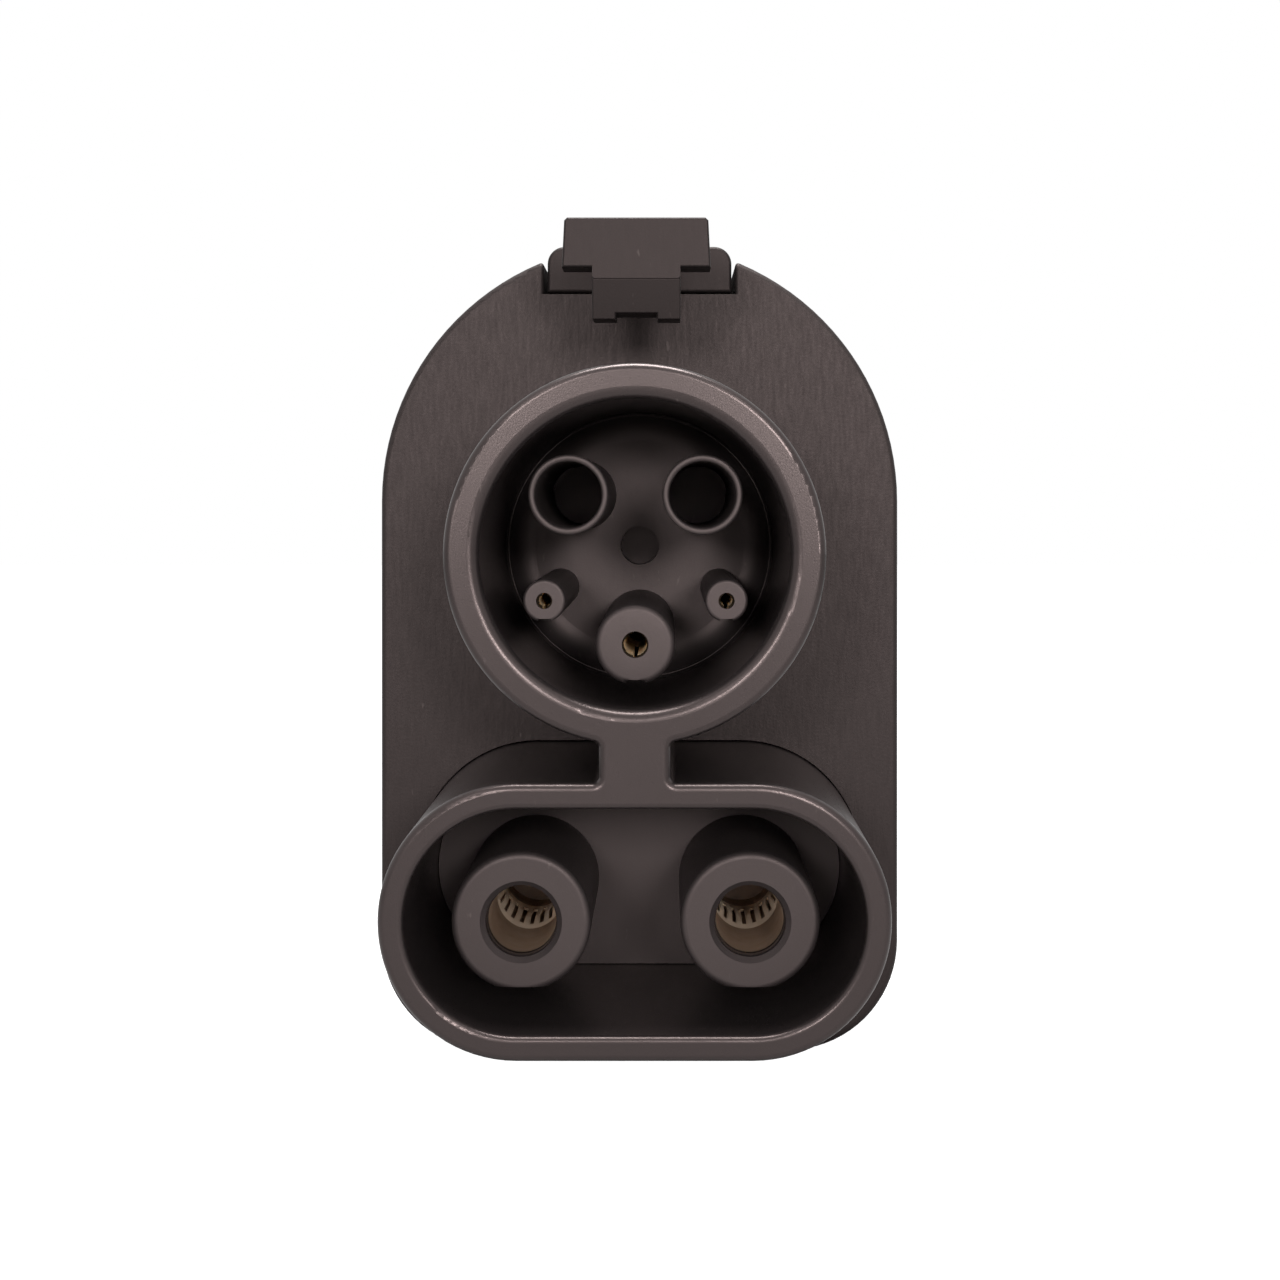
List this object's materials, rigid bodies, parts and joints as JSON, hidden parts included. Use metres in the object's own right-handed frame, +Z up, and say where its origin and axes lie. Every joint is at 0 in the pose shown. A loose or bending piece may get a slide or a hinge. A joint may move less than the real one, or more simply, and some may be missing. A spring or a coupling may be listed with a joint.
{
  "type": "ev charging adapter",
  "caption": "Handheld moulded adapter that joins an electric car's combined charging inlet to a different charging plug, with a rocking latch hook on top.",
  "frame": {"origin": "on the flat underside, below the middle of the adapter's length", "axes": "+Y runs from the plug face in the picture to the inlet at the back, +Z up to the latch, +X to the right as the plug face is looked at"},
  "size_m": [0.069, 0.15, 0.1082],
  "materials": {
    "casing_plastic": "moulded, fine grained texture",
    "shroud_plastic": "moulded, smooth satin",
    "insert_plastic": "moulded, smooth satin",
    "latch_plastic": "moulded, satin",
    "tip_plastic": "moulded, satin",
    "seal_rubber": "moulded, matt",
    "silver_plating": "turned and silver plated, slightly tarnished",
    "band_plating": "stamped sheet, silver plated",
    "gold_plating": "turned and gold plated",
    "bar_copper": "flat drawn bar, bright",
    "screw_steel": "zinc plated",
    "spring_steel": "drawn wire, bright",
    "board_laminate": "solder mask, satin",
    "lead_jacket": "extruded, satin"
  },
  "bodies": {
    "housing": {"front_casing": "casing_plastic", "rear_casing": "casing_plastic", "casing_seal": "seal_rubber", "casing_screws": "screw_steel", "plug_shroud": "shroud_plastic", "shroud_seal": "seal_rubber", "ac_insert": "insert_plastic", "dc_insert": "insert_plastic", "retainer_plate": "insert_plastic", "retainer_screws": "screw_steel", "dc_socket_left": "silver_plating", "dc_socket_right": "silver_plating", "louvre_band_left": "band_plating", "louvre_band_right": "band_plating", "earth_socket": "gold_plating", "pilot_socket": "gold_plating", "proximity_socket": "gold_plating", "signal_board": "board_laminate", "busbar_left": "bar_copper", "busbar_right": "bar_copper", "earth_bar": "bar_copper", "pilot_lead": "lead_jacket", "proximity_lead": "lead_jacket", "rear_inlet": "shroud_plastic", "power_pin_left": "silver_plating", "power_pin_right": "silver_plating", "pin_tip_left": "tip_plastic", "pin_tip_right": "tip_plastic", "earth_pin": "silver_plating", "pilot_pin": "gold_plating", "proximity_pin": "gold_plating", "latch_pin": "screw_steel", "latch_spring": "spring_steel"},
    "latch": {"latch_lever": "latch_plastic"}
  },
  "joints": [
    {"name": "latch_hinge", "type": "hinge", "parent": "housing", "child": "latch", "pos_m": [0, -0.017, 0.1025], "axis": [-1, 0, 0], "range_deg": [0, 7], "stiffness_Nm_per_rad": 0.8, "springref_deg": -11.46, "deforming": ["latch_spring"]}
  ]
}
